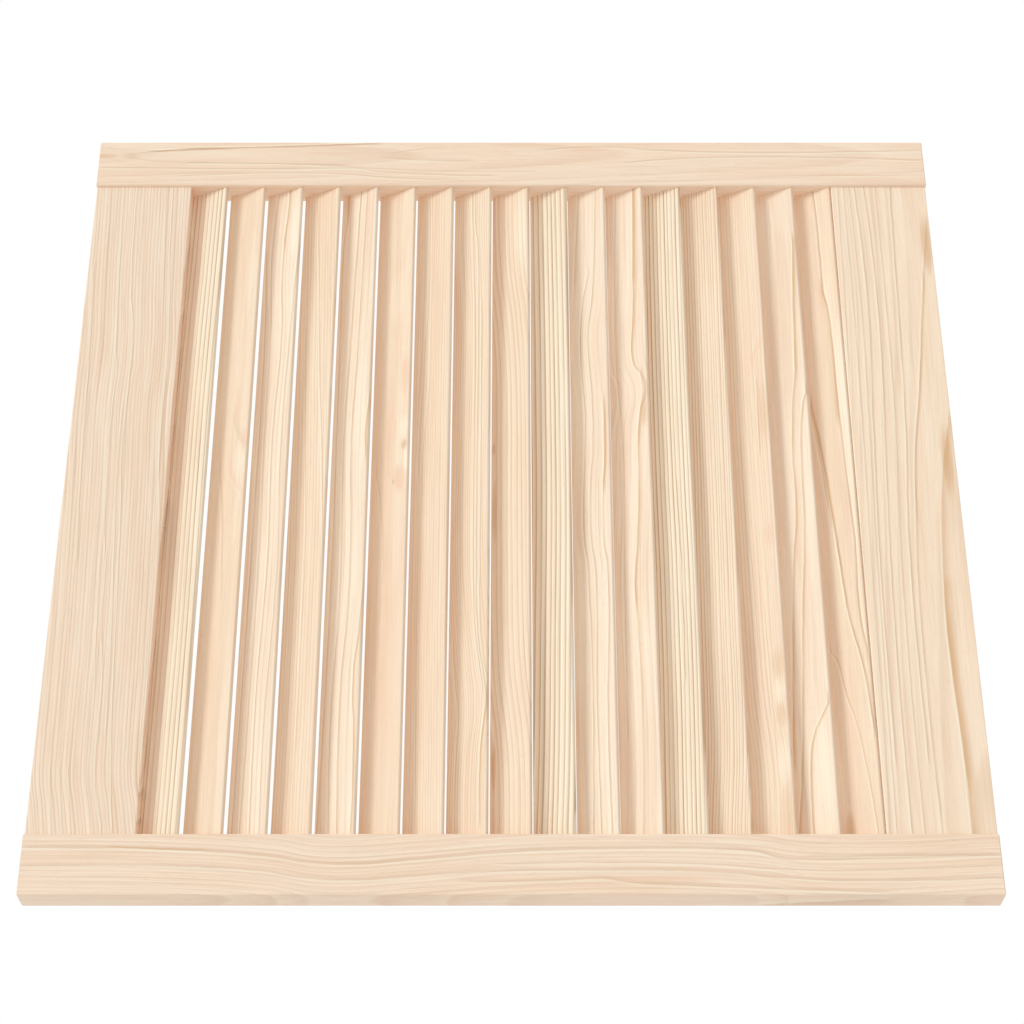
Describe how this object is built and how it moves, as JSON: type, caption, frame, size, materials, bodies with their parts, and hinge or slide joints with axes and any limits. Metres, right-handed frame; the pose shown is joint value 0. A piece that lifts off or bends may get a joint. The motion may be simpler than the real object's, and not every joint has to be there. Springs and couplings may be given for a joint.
{
  "type": "louvred cabinet door",
  "caption": "Unfinished pine cabinet door: stiles and rails framing fixed angled slats that let air through, to be hinged on a wardrobe or cupboard.",
  "frame": {"origin": "centre of the back face, on the plane that the door lies on", "axes": "+Z from the back face to the front face, +X from the top rail to the bottom rail, +Y from the left stile to the right stile as seen from the front"},
  "size_m": [0.615, 0.594, 0.02],
  "materials": {
    "pine_frame": "planed, bare",
    "pine_slat": "planed, bare",
    "beech_dowel": "turned, bare"
  },
  "bodies": {
    "root": {"stile_left": "pine_frame", "stile_right": "pine_frame", "rail_top": "pine_frame", "rail_bottom": "pine_frame", "slat_01": "pine_slat", "slat_02": "pine_slat", "slat_03": "pine_slat", "slat_04": "pine_slat", "slat_05": "pine_slat", "slat_06": "pine_slat", "slat_07": "pine_slat", "slat_08": "pine_slat", "slat_09": "pine_slat", "slat_10": "pine_slat", "slat_11": "pine_slat", "slat_12": "pine_slat", "slat_13": "pine_slat", "slat_14": "pine_slat", "slat_15": "pine_slat", "slat_16": "pine_slat", "slat_17": "pine_slat", "dowel_top_left_outer": "beech_dowel", "dowel_top_left_inner": "beech_dowel", "dowel_top_right_outer": "beech_dowel", "dowel_top_right_inner": "beech_dowel", "dowel_bottom_left_outer": "beech_dowel", "dowel_bottom_left_inner": "beech_dowel", "dowel_bottom_right_outer": "beech_dowel", "dowel_bottom_right_inner": "beech_dowel"}
  },
  "joints": []
}
